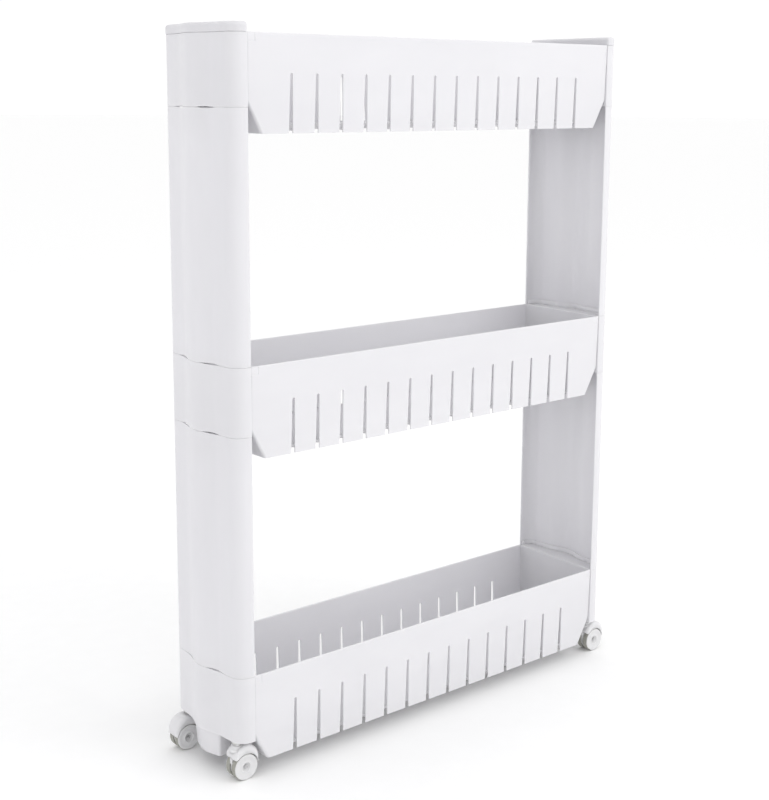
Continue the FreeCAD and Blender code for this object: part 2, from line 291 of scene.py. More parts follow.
class NodeSheet:
    """Short hand for laying out a material's nodes."""

    def __init__(self, name: str) -> None:
        """Start a material of this name with a Principled surface and Object coordinates."""
        self.material = bpy.data.materials.new(name)
        self.material.use_nodes = True
        self.tree = self.material.node_tree
        self.place = self.node("TexCoord", {}).outputs["Object"]

    def feed(self, node: bpy.types.Node, inputs: dict) -> bpy.types.Node:
        """Fill a node's inputs.

        Args:
            node: The node.
            inputs: A number, a tuple or a socket for each input, by name or number.

        Returns:
            The node.
        """
        for key, value in inputs.items():
            if isinstance(value, Socket):
                self.tree.links.new(value, node.inputs[key])
            else:
                node.inputs[key].default_value = value
        return node

    def node(self, kind: str, inputs: dict, **settings: str) -> bpy.types.Node:
        """Add a node.

        Args:
            kind: Its type, without the ShaderNode at the start.
            inputs: What its inputs are fed with.
            **settings: The node's own settings.

        Returns:
            The node.
        """
        made = self.tree.nodes.new("ShaderNode" + kind)
        for name, value in settings.items():
            setattr(made, name, value)
        return self.feed(made, inputs)

    def surface(self, inputs: dict) -> bpy.types.Material:
        """Feed the Principled surface's inputs and return the finished material."""
        self.feed(self.tree.nodes["Principled BSDF"], inputs)
        return self.material

    def noise(self, scale: float, detail: float = 4.0, stretch: tuple = (1.0, 1.0, 1.0),
              roughness: float = 0.55) -> Socket:
        """Fractal noise in Object coordinates.

        Args:
            scale: Cycles per metre.
            detail: Number of octaves.
            stretch: Factors on X, Y and Z before the pattern is read.
            roughness: How strong the fine octaves are.

        Returns:
            The noise's value, from 0 to 1.
        """
        place = self.node("Mapping", {"Vector": self.place, "Scale": stretch}).outputs["Vector"]
        grain = {"Vector": place, "Scale": scale, "Detail": detail, "Roughness": roughness}
        return self.node("TexNoise", grain).outputs["Fac"]

    def spread(self, value: Socket, low: float, high: float, to_low: float = 0.0,
               to_high: float = 1.0) -> Socket:
        """Map a value from the range low to high onto to_low to to_high, clamped."""
        return self.node("MapRange", dict(enumerate((value, low, high, to_low, to_high)))).outputs[0]

    def multiply(self, a: Socket, b: Socket) -> Socket:
        """Return the product of two values."""
        return self.node("Math", {0: a, 1: b}, operation="MULTIPLY").outputs[0]

    def mix(self, amount: Socket, a: object, b: object) -> Socket:
        """Blend from colour a to colour b, each of them three numbers or a socket."""
        first, second = (end if isinstance(end, Socket) else (*end, 1.0) for end in (a, b))
        return self.node("Mix", {0: amount, 6: first, 7: second}, data_type="RGBA").outputs[2]

    def edges(self, low: float, high: float) -> Socket:
        """Return 0 on flat and hollow places, rising to 1 on worn outer edges."""
        return self.spread(self.node("NewGeometry", {}).outputs["Pointiness"], low, high)

    def height(self) -> Socket:
        """Return the height above the floor, in metres."""
        return self.node("SeparateXYZ", {0: self.place}).outputs[2]

    def bump(self, value: Socket, depth: float, below: "Socket | None" = None) -> Socket:
        """Add a relief to the surface.

        Args:
            value: Height pattern, from 0 to 1.
            depth: Height in metres that 1 stands for.
            below: A coarser relief that this one lies on.

        Returns:
            The normal.
        """
        relief = {"Strength": 1.0, "Distance": depth, "Height": value}
        if below is not None:
            relief["Normal"] = below
        return self.node("Bump", relief).outputs["Normal"]


@dataclass(frozen=True)
class MouldedPlastic:
    """Satin injection-moulded plastic that lets a little light through.

    Attributes:
        name: Name of the material.
        colour: Main colour, linear.
        shade: Colour of the slightly darker patches, linear.
        edge: Colour of rubbed edges, linear.
        roughness: Lowest and highest roughness.
        grain: Cycles per metre of the fine mould texture.
        flow: Factors that stretch the flow marks along X, Y and Z.
        foot_darkening: How much darker the foot of the cart is.
        foot_darkening_top: Height where that darkening ends.
        clouds: Cycles per metre of the broad patches of shade.
        streaks: Cycles per metre of the narrow ones.
        scuffs: Cycles per metre of the changes in roughness.
        waves: Cycles per metre of the surface's slight unevenness.
        wear: Cycles per metre of the rubbed edges' breaks.
        dust: Cycles per metre of the patches that the darkening comes in.
        grain_depth: Depth of the mould texture.
        wave_depth: Depth of the unevenness.
        translucency: How much of the light passes under the surface, from 0 to 1.
        glow_depth: How far that light travels.
        refraction: Index of refraction.
        gloss: Strength of the reflections.
    """

    name: str
    colour: tuple
    shade: tuple
    edge: tuple
    roughness: tuple = (0.36, 0.5)
    grain: float = 1400.0
    flow: tuple = (1.0, 1.0, 1.0)
    foot_darkening: float = 0.05
    foot_darkening_top: float = 0.12
    clouds: float = 9.0
    streaks: float = 34.0
    scuffs: float = 190.0
    waves: float = 26.0
    wear: float = 120.0
    dust: float = 60.0
    grain_depth: float = 0.004 * MM
    wave_depth: float = 0.03 * MM
    translucency: float = 0.5
    glow_depth: float = 2.5 * MM
    refraction: float = 1.49
    gloss: float = 0.45

    def build(self) -> bpy.types.Material:
        """Lay out the nodes and return the material."""
        sheet = NodeSheet(self.name)
        cloud = sheet.spread(sheet.noise(self.clouds, 5.0, self.flow), 0.35, 0.7)
        streak = sheet.spread(sheet.noise(self.streaks, 3.0, self.flow), 0.45, 0.75, 0.0, 0.5)
        body = sheet.mix(streak, sheet.mix(cloud, self.colour, self.shade), self.shade)
        breaks = sheet.spread(sheet.noise(self.wear), 0.4, 0.65, 0.2, 0.9)
        body = sheet.mix(sheet.multiply(sheet.edges(0.53, 0.62), breaks), body, self.edge)
        # The colour darkens towards the floor and fades out by a set height, in noisy patches.
        low_down = sheet.spread(sheet.height(), 0.0, self.foot_darkening_top, self.foot_darkening, 0.0)
        patch_amount = sheet.multiply(low_down, sheet.spread(sheet.noise(self.dust, 6.0), 0.35, 0.75, 0.2, 1.0))
        scuffs = sheet.noise(self.scuffs, 6.0, self.flow, 0.7)
        waves = sheet.bump(sheet.noise(self.waves, 2.0, self.flow), self.wave_depth)
        return sheet.surface({
            "Base Color": sheet.mix(patch_amount, body, tuple(0.55 * part for part in self.shade)),
            "Roughness": sheet.spread(scuffs, 0.3, 0.7, *self.roughness),
            "Normal": sheet.bump(sheet.noise(self.grain, 3.0), self.grain_depth, waves),
            "IOR": self.refraction,
            "Specular IOR Level": self.gloss,
            "Subsurface Weight": self.translucency,
            "Subsurface Radius": (1.0, 1.0, 1.0),
            "Subsurface Scale": self.glow_depth,
        })


@dataclass(frozen=True)
class TreadRubber:
    """Grey-green soft tread, dusty and lightly scuffed.

    Attributes:
        name: Name of the material.
        colour: Clean colour, linear.
        dust: Colour of the dust in its pores, linear.
        pores: Cycles per metre of the pores.
        pore_depth: Their depth.
    """

    name: str = "tread_rubber"
    colour: tuple = (0.33, 0.33, 0.295)
    dust: tuple = (0.43, 0.425, 0.395)
    pores: float = 1600.0
    pore_depth: float = 0.02 * MM

    def build(self) -> bpy.types.Material:
        """Lay out the nodes and return the material."""
        sheet = NodeSheet(self.name)
        patch_amount = sheet.spread(sheet.noise(420.0, 6.0, roughness=0.7), 0.42, 0.72, 0.0, 0.8)
        worn = sheet.multiply(sheet.edges(0.52, 0.62), sheet.spread(sheet.noise(300.0), 0.4, 0.6, 0.1, 0.7))
        return sheet.surface({
            "Base Color": sheet.mix(worn, sheet.mix(patch_amount, self.colour, self.dust), self.dust),
            "Roughness": sheet.spread(sheet.noise(700.0), 0.3, 0.7, 0.62, 0.85),
            "Normal": sheet.bump(sheet.noise(self.pores), self.pore_depth),
        })


@dataclass(frozen=True)
class PlatedSteel:
    """Zinc-plated steel pin with fine turning marks round it.

    Attributes:
        name: Name of the material.
        colour: Bright colour, linear.
        dull: Colour of tarnished patches, linear.
        marks: Cycles per metre of the turning marks.
        mark_depth: Their depth.
    """

    name: str = "plated_steel"
    colour: tuple = (0.62, 0.62, 0.63)
    dull: tuple = (0.36, 0.35, 0.33)
    marks: float = 2600.0
    mark_depth: float = 0.004 * MM

    def build(self) -> bpy.types.Material:
        """Lay out the nodes and return the material."""
        sheet = NodeSheet(self.name)
        tarnish = sheet.spread(sheet.noise(330.0, 6.0), 0.45, 0.7, 0.0, 0.8)
        return sheet.surface({
            "Base Color": sheet.mix(tarnish, self.colour, self.dull),
            "Roughness": sheet.spread(sheet.noise(500.0, 5.0), 0.3, 0.7, 0.24, 0.45),
            "Normal": sheet.bump(sheet.noise(self.marks, 2.0, (0.05, 0.05, 1.0)), self.mark_depth),
            "Metallic": 1.0,
        })


@dataclass(frozen=True)
class StudioPaper:
    """Plain pale floor with a faint fibre.

    Attributes:
        name: Name of the material.
        colour: Floor colour, linear.
        fibre: Cycles per metre of the fibre.
    """

    name: str = "studio_floor"
    colour: tuple = (0.965, 0.965, 0.965)
    fibre: float = 40.0

    def build(self) -> bpy.types.Material:
        """Lay out the nodes and return the material."""
        sheet = NodeSheet(self.name)
        fibre = sheet.spread(sheet.noise(self.fibre), 0.3, 0.7)
        paler = tuple(0.985 * part for part in self.colour)
        return sheet.surface({"Base Color": sheet.mix(fibre, self.colour, paler), "Roughness": 0.9})


class Palette:
    """Every finish of the cart, built once and shared."""

    def __init__(self) -> None:
        """Build the materials."""
        white = {"colour": (0.742, 0.737, 0.757), "shade": (0.705, 0.70, 0.722), "edge": (0.80, 0.795, 0.81)}
        self.by_slot = {
            Slot.TRAY: MouldedPlastic("tray_white_plastic", flow=(0.35, 1.0, 1.0), **white).build(),
            Slot.COLUMN: MouldedPlastic("column_white_plastic", flow=(1.0, 1.0, 0.3), **white).build(),
            # Painted shade: the caps are the same white plastic as the trays and columns, with every colour
            # about 5% darker to paint in the shade that dims them.
            Slot.CAP: MouldedPlastic("cap_white_plastic_painted_shade", (0.705, 0.70, 0.722), (0.67, 0.665, 0.687),
                                     (0.77, 0.765, 0.782), (0.3, 0.45)).build(),
            Slot.CASTER: MouldedPlastic("caster_white_plastic", (0.77, 0.768, 0.78), (0.72, 0.718, 0.73),
                                        (0.86, 0.86, 0.865), (0.3, 0.5), grain=2400.0, foot_darkening=0.1).build(),
            Slot.WHEEL: MouldedPlastic("wheel_white_plastic", (0.765, 0.763, 0.773), (0.71, 0.708, 0.715),
                                       (0.85, 0.85, 0.85), (0.34, 0.55), grain=2400.0, foot_darkening=0.14).build(),
            Slot.SOCKET: MouldedPlastic("socket_plastic", (0.62, 0.62, 0.61), (0.52, 0.52, 0.5),
                                        (0.72, 0.72, 0.7), (0.4, 0.6), grain=2400.0, foot_darkening=0.2).build(),
            Slot.TREAD: TreadRubber().build(),
            Slot.STEEL: PlatedSteel().build(),
        }

    def make(self, shape: Shape, name: str, slot: Slot, body: str, node: str) -> None:
        """Make a piece, give it its finish, let it ride in place of its CAD node and report it.

        Args:
            shape: Its surface.
            name: Its name.
            slot: Its material slot.
            body: Body that it moves with.
            node: CAD node that it stands for.
        """
        piece = shape.build(name)
        piece.data.materials.append(self.by_slot[slot])
        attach(piece, body)
        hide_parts(node)
        LOG.info("%s: %d vertices, rides on %s", name, len(piece.data.vertices), body)

    def make_pair(self, shape: Shape, node: str, word: str, slot: Slot) -> None:
        """Make a cart piece and its turned copy, in place of the node's right and left ones.

        Args:
            shape: Surface of the one at the +X end.
            node: Start of the CAD nodes' names.
            word: Last word of the pieces' names.
            slot: Their material slot.
        """
        for end_word, end in shape.both_ends():
            self.make(end, f"{node}_{end_word}_{word}", slot, "cart", f"{node}_{end_word}")

    def dress_node(self, name: str, slot: Slot) -> None:
        """Give a carried-over CAD node its finish.

        Args:
            name: The node.
            slot: Its material slot.
        """
        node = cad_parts[name]
        if not node.material_slots:
            node.data.materials.append(self.by_slot[slot])
        for own in node.material_slots:
            own.material = self.by_slot[slot]


# --- shape of the end columns ---

SEAM_ROWS = np.array([2.0, 3.0, 8.0]) * MM     # rows next to a seam, so that its shading stays crisp
MIRROR_Y = np.array([1.0, -1.0])               # turns plan points into their mirror image in Y


@dataclass
class ColumnOutline:
    """Plan outline shared by the uprights, the tray ends and the end caps, at the +X end.

    Attributes:
        half_width: Half the column across Y.
        corner_radius: Radius of the two outer corners.
        face_x: X of the outer face where the corners end.
        crown: Rise of the whole face towards its middle.
        rib: Rise of the broad middle rib.
        rib_half_width: Half the width of that rib.
        free_edge: X of the column's free inner edges.
        corner_steps: Intervals in a corner.
        face_steps: Intervals across the face.
    """

    half_width: float = 60.0 * MM
    corner_radius: float = 15.0 * MM
    face_x: float = 260.0 * MM
    crown: float = 2.0 * MM
    rib: float = 6.0 * MM
    rib_half_width: float = 30.0 * MM
    free_edge: float = 241.0 * MM
    corner_steps: int = 8
    face_steps: int = 40

    def face(self, y: np.ndarray) -> np.ndarray:
        """X of the outer face: a parabola for the crown plus a squared cosine for the rib.

        Args:
            y: Positions across the column.

        Returns:
            X at each of them.
        """
        bend = self.half_width - self.corner_radius
        crown = self.crown * (1 - (y / bend) ** 2)
        wave = np.cos(np.pi * y / (2 * self.rib_half_width)) ** 2
        return self.face_x + crown + self.rib * np.where(np.abs(y) < self.rib_half_width, wave, 0.0)

    def bend(self, inset: float) -> np.ndarray:
        """Points from one outer corner's start, round the face, to the other's end.

        A quarter arc, the face moved in by the inset, and the mirrored quarter arc.

        Args:
            inset: Distance inside the outline, or outside it if negative.

        Returns:
            An array of shape (points, 2), running from -Y to +Y.
        """
        middle = self.half_width - self.corner_radius
        centre_x = self.face_x - self.corner_radius
        y = np.linspace(-middle, middle, self.face_steps + 1)
        face = np.stack([self.face(y) - inset, y], -1)
        radius = self.corner_radius - inset
        low = arc((centre_x, -middle), radius, -90, 0, self.corner_steps)
        high = arc((centre_x, middle), radius, 0, 90, self.corner_steps)
        return np.vstack([low[:-1], face, high[1:]])

    def channel(self, insets: np.ndarray, tip_radius: float, tip_steps: int = 4) -> np.ndarray:
        """Lines of the open channel at several insets, with fully rounded free edges.

        Near a free edge each inset closes in on the wall's middle, as the edge's half circle does.

        Args:
            insets: Inset of each line.
            tip_radius: Radius of the free edges, half the wall.
            tip_steps: Intervals in each rounded edge.

        Returns:
            An array of shape (lines, points, 2).
        """
        middle = float(insets.min() + insets.max()) / 2
        along = tip_radius * (1 - np.cos(np.linspace(0, math.pi / 2, tip_steps + 1)))
        squeeze = np.sqrt(np.clip(1 - (1 - along / tip_radius) ** 2, 0, 1))
        lines = []
        for inset in insets:
            y = -self.half_width + middle + (inset - middle) * squeeze
            tip = np.stack([self.free_edge + along, y], -1)
            far = tip[::-1] * MIRROR_Y
            lines.append(np.vstack([tip, self.bend(inset), far]))
        return np.stack(lines)

    def closed(self, inset: float, inner_x: float, inner_radius: float, steps: int = 4) -> np.ndarray:
        """Closed outline from inner_x outwards, with rounded inner corners.

        Args:
            inset: Distance inside the outline; it moves the inner side too.
            inner_x: X of the inner side for no inset.
            inner_radius: Radius of the inner corners for no inset.
            steps: Intervals in an inner corner.

        Returns:
            An array of shape (points, 2) that mirrors in Y and runs counter-clockwise from +Y.
        """
        radius = max(inner_radius - inset, 0.05 * MM)
        side = self.half_width - inset
        edge = inner_x + inset
        low = arc((edge + radius, -side + radius), radius, 180, 270, steps)
        high = low[::-1] * MIRROR_Y
        return np.vstack([low, self.bend(inset), high])


@dataclass
class SeamNotch:
    """Two lens-shaped finger gaps where a column meets a tray.

    Attributes:
        offset: Distance of each gap from the middle.
        chord: Length of a gap.
        depth: Greatest depth of one side of a gap.
        face_from: X beyond which an outline belongs to the outer face.
    """

    offset: float = 23.0 * MM
    chord: float = 24.0 * MM
    depth: float = 0.8 * MM
    face_from: float = 250.0 * MM

    def at(self, outline: np.ndarray) -> np.ndarray:
        """Depth along a plan outline: a parabola over each gap, and none elsewhere.

        Args:
            outline: Plan points, of shape (points, 2).

        Returns:
            The depth at each point, only on the outer face.
        """
        from_middle = np.abs(np.abs(outline[:, 1]) - self.offset) / (self.chord / 2)
        return self.depth * np.clip(1 - from_middle ** 2, 0, None) * (outline[:, 0] > self.face_from)


def layered(outline_at: list, heights: list, dips: "list | None" = None) -> Shape:
    """Closed body of stacked plan outlines.

    Neighbouring outlines are joined by quads all round, and the first and last are closed with
    ladders of quads.

    Args:
        outline_at: Plan outlines with the same number of points, lowest first.
        heights: Height of each outline.
        dips: Extra height along each outline, where it has some.

    Returns:
        The closed surface.
    """
    rows, count = len(outline_at), len(outline_at[0])
    z = np.repeat(np.array(heights)[:, None], count, axis=1)
    if dips is not None:
        z = z + np.stack(dips)
    points = np.concatenate([np.stack(outline_at), z[..., None]], -1)
    shape = Shape().add(points, quads(rows, count, False, True))
    ends = np.vstack([strip_cap(0, count, False), strip_cap((rows - 1) * count, count, True)])
    shape.faces = np.vstack([shape.faces, ends])
    return shape


# --- trays ---

@dataclass
class Tray:
    """One open tray with slotted long sides and hollow closed ends.

    Attributes:
        tier: Which tray it is, as the CAD node's name says.
        outline: Plan outline of the ends.
        notch: Finger gaps in the column seams.
        depth: Rim down to the skirt's lower edge.
        wall: Wall thickness.
        end_x: Outer face of an end wall.
        foot_x: The same at the lower edge.
        kink: Rim down to where the end wall leans inward.
        rim_half: Half the basin across Y at the rim.
        foot_half: The same at the lower edge.
        corner: Outer radius of the basin's upright corners.
        pitch: Spacing of the slots.
        slots: Slots on each side.
        slot_drop: Rim down to the centre of a slot's round top.
        slot_top: Width there.
        slot_foot: Width at the lower edge.
        floor_rise: Lower edge up to the underside of the floor.
        floor: Floor thickness.
        end_height: Height of the closed ends.
        seat: Height of the low rib that a column drops over.
        plug: Length of the plug under each end.
        plug_half: Half the plug across Y.
        plug_inset: Plug's top inside the column's outline.
        plug_taper: How much further in its foot is.
        pocket: Length, depth and height of the pocket beside each column.
        notch_depth: How far the floor stands back from the wall at a slot.
    """

    tier: str
    outline: ColumnOutline
    notch: SeamNotch
    depth: float = 91.0 * MM
    wall: float = 2.0 * MM
    end_x: float = 242.0 * MM
    foot_x: float = 225.0 * MM
    kink: float = 60.0 * MM
    rim_half: float = 59.5 * MM
    foot_half: float = 57.2 * MM
    corner: float = 3.0 * MM
    pitch: float = 29.5 * MM
    slots: int = 14
    slot_drop: float = 37.5 * MM
    slot_top: float = 2.8 * MM
    slot_foot: float = 4.8 * MM
    floor_rise: float = 4.6 * MM
    floor: float = 2.2 * MM
    end_height: float = 67.0 * MM
    seat: float = 5.0 * MM
    plug: float = 26.0 * MM
    plug_half: float = 23.0 * MM
    plug_inset: float = 3.0 * MM
    plug_taper: float = 2.0 * MM
    pocket: tuple = (8.5 * MM, 0.3 * MM, 8.0 * MM)
    notch_depth: float = 2.5 * MM

    @property
    def node(self) -> str:
        """Name of the tray's CAD node."""
        return "tray_" + self.tier

    @property
    def rim(self) -> float:
        """Height of the rim, from the CAD node's top less the seat rib."""
        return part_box(self.node)[1][2] - self.seat

    def half_length(self, drop: np.ndarray) -> np.ndarray:
        """Half the basin along X at a drop below the rim: upright, then leaning in."""
        lean = (self.end_x - self.foot_x) / (self.depth - self.kink)
        return self.end_x - lean * np.clip(drop - self.kink, 0, None)

    def half_across(self, drop: np.ndarray) -> np.ndarray:
        """Half the basin across Y at a drop below the rim, with a straight draft."""
        return self.rim_half - (self.rim_half - self.foot_half) * drop / self.depth

    def slot_half(self, drop: np.ndarray, retreat: float) -> np.ndarray:
        """Half a slot's width: nothing above it, a half circle, then a straight taper.

        Args:
            drop: Drops below the rim.
            retreat: How much wider the slot is made by its softened edge.

        Returns:
            The half width at each drop.
        """
        radius = self.slot_top / 2
        below = drop - self.slot_drop
        cap = np.sqrt(np.clip((radius + retreat) ** 2 - below ** 2, 0, None))
        taper = (self.slot_foot - self.slot_top) / 2 * below / (self.depth - self.slot_drop)
        return np.where(below < 0, cap, radius + retreat + taper)

    def drops(self, retreat: float) -> np.ndarray:
        """Drops of the wall's rows, with close pairs wherever an edge has to look crisp.

        Args:
            retreat: How far the softened edges give way.

        Returns:
            The drops, from the rim to the lower edge.
        """
        step, close = 0.05 * MM, 0.5 * MM
        low = self.pocket[2]
        turn = np.radians(np.linspace(0, 90, 6))
        tops = self.slot_drop - (self.slot_top / 2 + retreat) * np.cos(turn)
        upper = [retreat, 1.0 * MM, low - close, low - step, low + step, low + close, 20 * MM, 35 * MM]
        lower = [42 * MM, 50 * MM, self.kink - 2 * close, self.kink, self.kink + 2 * close, 68 * MM,
                 76 * MM, 84 * MM, self.depth - 1.0 * MM, self.depth - retreat]
        return np.concatenate([upper, tops, lower])

    def stations(self, drops: np.ndarray, retreat: float) -> tuple:
        """X positions along a long side for every row, and which gaps between them are slots.

        Each slot has a station on both of its edges, which follow its width, and one more just
        outside each edge. The pocket's end has close pairs.

        Args:
            drops: Drop of each row.
            retreat: How much the softened edges give way.

        Returns:
            Positions of shape (rows, stations), and a flag for each gap.
        """
        half = self.slot_half(drops, retreat)[:, None]
        straight = self.half_length(drops)[:, None] - self.corner
        pocket_end = self.outline.free_edge - self.pocket[0]
        lines = [np.minimum(pocket_end + offset * MM, straight - order * 0.3 * MM)
                 for order, offset in enumerate((0.5, 0.05, -0.05, -0.5), 1)]
        outer = [-straight] + [-line for line in lines]
        columns, slot_at = list(outer), []
        for centre in (np.arange(self.slots) - (self.slots - 1) / 2) * self.pitch:
            start = np.full_like(half, centre)
            slot_at.append(len(columns) + 2)
            columns += [start - self.pitch / 2, start - half - 0.6 * MM, start - half,
                        start + half, start + half + 0.6 * MM]
        columns.append(np.full_like(half, self.slots / 2 * self.pitch))
        columns += [-column for column in outer[::-1]]
        flags = np.zeros(len(columns) - 1, dtype=bool)
        flags[slot_at] = True
        return np.concatenate(columns, axis=1), flags

    def wall_layer(self, depth: float, retreat: float) -> tuple:
        """One layer of the basin wall, as a grid of rows all round.

        A row is a rounded rectangle whose half length and half width follow its drop. Next to a
        column the wall steps in by the pocket's depth.

        Args:
            depth: How far the layer lies inside the outer face.
            retreat: How far its borders give way, for softened edges.

        Returns:
            The grid, of shape (rows, columns, 3), and the flags of the cells that slots cut.
        """
        drops = self.drops(retreat)
        side, is_slot = self.stations(drops, retreat)
        reach, width = self.half_length(drops)[:, None], self.half_across(drops)[:, None]
        centre_x, centre_y = reach - self.corner, width - self.corner
        corner_steps, end_steps = 6, 12
        a = np.radians(np.linspace(0, 90, corner_steps + 1))[1:-1]
        radius = self.corner - depth
        end_y = centre_y * np.linspace(-1, 1, end_steps + 1)
        quarter_x, quarter_y = centre_x + radius * np.sin(a), centre_y + radius * np.cos(a)
        end_x = np.broadcast_to(reach - depth, end_y.shape)
        side_y = np.broadcast_to(depth - width, side.shape)
        x = np.concatenate([side, quarter_x, end_x, quarter_x[:, ::-1]], 1)
        y = np.concatenate([side_y, -quarter_y, end_y, quarter_y[:, ::-1]], 1)
        in_pocket = (np.abs(x) > self.outline.free_edge - self.pocket[0]) & (drops < self.pocket[2])[:, None]
        limit = width - np.where(in_pocket, max(self.pocket[1], depth), 0.0)
        y = np.clip(y, -limit, limit)
        grid = np.stack([np.concatenate([x, -x], 1), np.concatenate([y, -y], 1),
                         np.repeat(self.rim - drops[:, None], 2 * x.shape[1], 1)], -1)
        cut = np.zeros(x.shape[1], dtype=bool)
        cut[:len(is_slot)] = is_slot
        return grid, np.concatenate([cut, cut])

    def basin_wall(self) -> Shape:
        """Slotted wall all round the basin, with softened borders.

        Six layers lie through its thickness. The outermost ones give way by the softening radius
        less a quarter circle, so the rim, the slots and the lower edge are rounded.

        Returns:
            The closed wall.
        """
        soft = 0.4 * MM
        turn = np.radians([0, 35, 90])
        inset, retreat = soft * (1 - np.cos(turn)), soft * (1 - np.sin(turn))
        pairs = list(zip(inset, retreat)) + list(zip(self.wall - inset[::-1], retreat[::-1]))
        made = [self.wall_layer(depth, give) for depth, give in pairs]
        cut = made[0][1]
        low_enough = self.drops(0.0)[:-1] > self.slot_drop - self.slot_top / 2 - 0.01 * MM
        return thick_sheet(np.stack([grid for grid, _ in made]), ~(low_enough[:, None] & cut[None, :]))

    def floor_plan(self, drop: float, inset: float, steps: int = 6) -> np.ndarray:
        """Rounded rectangle inside the basin at one drop, notched at every slot, mirrored in Y.

        Args:
            drop: Drop below the rim.
            inset: Distance inside the outer skin.
            steps: Intervals in a corner.

        Returns:
            Plan points, counter-clockwise from the -X end's middle.
        """
        level = np.array([drop])
        x = float(self.half_length(level)[0]) - inset
        y = float(self.half_across(level)[0]) - inset
        radius = 1.2 * MM
        side = self.stations(level, 0.0)[0]
        side = side[0][np.abs(side[0]) < self.slots / 2 * self.pitch]
        to_slot = np.abs((side / self.pitch + self.slots / 2) % 1 - 0.5) * self.pitch
        notch = np.where(to_slot < self.slot_foot / 2 + 0.1 * MM, self.notch_depth, 0.0)
        low = np.vstack([arc((-x + radius, -y + radius), radius, 180, 270, steps),
                         np.stack([side, notch - y], -1),
                         arc((x - radius, -y + radius), radius, 270, 360, steps)])
        return np.vstack([low, low[::-1] * MIRROR_Y])

    def basin_floor(self) -> Shape:
        """Floor plate with a rounded hollow fillet where it meets the wall.

        Stacked plans: the underside, the edge, and a quarter circle from the wall down to the
        floor. A plan has a notch at every slot, so that nothing shows in the slots.

        Returns:
            The closed plate.
        """
        under = self.depth - self.floor_rise
        top = under - self.floor
        fillet = 1.5 * MM
        plans = [self.floor_plan(under, self.wall - 0.3 * MM), self.floor_plan(top, self.wall - 0.3 * MM)]
        heights = [self.rim - under, self.rim - top + fillet]
        for angle in np.radians(np.linspace(0, 90, 6)):
            plans.append(self.floor_plan(top, self.wall + fillet * (1 - math.cos(angle))))
            heights.append(self.rim - top + fillet * (1 - math.sin(angle)))
        return layered(plans, heights)

    def floor_ribs(self) -> Shape:
        """Stiffening ribs under the floor: one along it and one across at every second slot gap.

        Each rib is a bar that narrows downwards by its draft.

        Returns:
            The ribs.
        """
        sunk, tall, half_rib, draft = 0.3 * MM, 3.2 * MM, 0.8 * MM, 0.25 * MM
        top = self.rim - self.depth + self.floor_rise + sunk
        reach_x, reach_y = self.foot_x - 6 * MM, self.foot_half - 1.5 * MM
        square = np.array([[-1.0, -1.0], [1.0, -1.0], [1.0, 1.0], [-1.0, 1.0]])
        bars = [(0.0, reach_x, half_rib)]
        bars += [(i * self.pitch, half_rib, reach_y) for i in range(-6, 7, 2)]
        shape = Shape()
        for x, half_x, half_y in bars:
            plans = [square * [half_x - give, half_y - give] + [x, 0.0] for give in (draft, 0.0)]
            shape.join(layered(plans, [top - tall, top]))
        return shape

    def end_block(self) -> Shape:
        """Closed end of the tray at +X, with softened upper and lower edges.

        Stacked outlines, the first and last moved in along a quarter circle. The finger gaps
        lower the upper edge and raise the lower one, except where no column meets the tray.

        Returns:
            The closed surface.
        """
        soft = 0.5 * MM
        inner = self.end_x - 0.8 * MM
        sag = 0.05 * MM
        low, high = self.rim - self.end_height, self.rim - sag
        turn = np.radians(np.linspace(0, 90, 4))
        plain = np.concatenate([low + SEAM_ROWS, [(low + high) / 2], high - SEAM_ROWS[::-1]])
        insets = np.concatenate([soft * (1 - np.sin(turn)), 0.0 * plain, soft * (1 - np.cos(turn))])
        heights = np.concatenate([low + soft * (1 - np.cos(turn)), plain, high - soft * (1 - np.sin(turn))])
        plans = [self.outline.closed(inset, inner, 0.6 * MM) for inset in insets]
        gap = self.notch.at(plans[4])
        flat = np.zeros_like(gap)
        rise = gap if self.tier != "bottom" else flat
        fall = -gap if self.tier != "top" else flat
        dips = [rise] * 4 + [flat] * len(plain) + [fall] * 4
        return layered(plans, heights.tolist(), dips)

    def seat_rib(self) -> Shape:
        """Low rib on the end's top that the column drops over, as a bent wall with a round top."""
        loop = rounded_loop(2.4 * MM, 4.0 * MM, self.rim - 0.5 * MM, self.rim + self.seat, 0.4 * MM)
        insets, z = loop[:, 0], loop[:, 1]
        lines = self.outline.channel(insets, 0.8 * MM)
        lines[..., 0] = np.maximum(lines[..., 0], self.outline.free_edge + self.wall)
        height = np.repeat(z[:, None], lines.shape[1], 1)[..., None]
        points = np.concatenate([lines, height], -1)
        return Shape().add(points, quads(*points.shape[:2], True, False))

    def end_plug(self) -> Shape:
        """Tapered plug under the end, as a wall round a closed plan.

        The plan is the column's face cut at the plug's two sides. It moves in with depth, and the
        wall's closed section is carried round it.

        Returns:
            The closed wall.
        """
        top = self.rim - self.end_height + 0.5 * MM
        foot = self.rim - self.end_height - self.plug
        loop = rounded_loop(0.0, 1.9 * MM, foot, top, 0.8 * MM, 3, (foot + 8 * MM, foot + 17 * MM))
        rows = []
        for inset, z in loop:
            plan = self.plug_plan(self.plug_inset + self.plug_taper * (top - z) / (top - foot) + inset)
            rows.append(np.column_stack([plan, np.full(len(plan), z)]))
        points = np.stack(rows)
        return Shape().add(points, quads(*points.shape[:2], True, True))

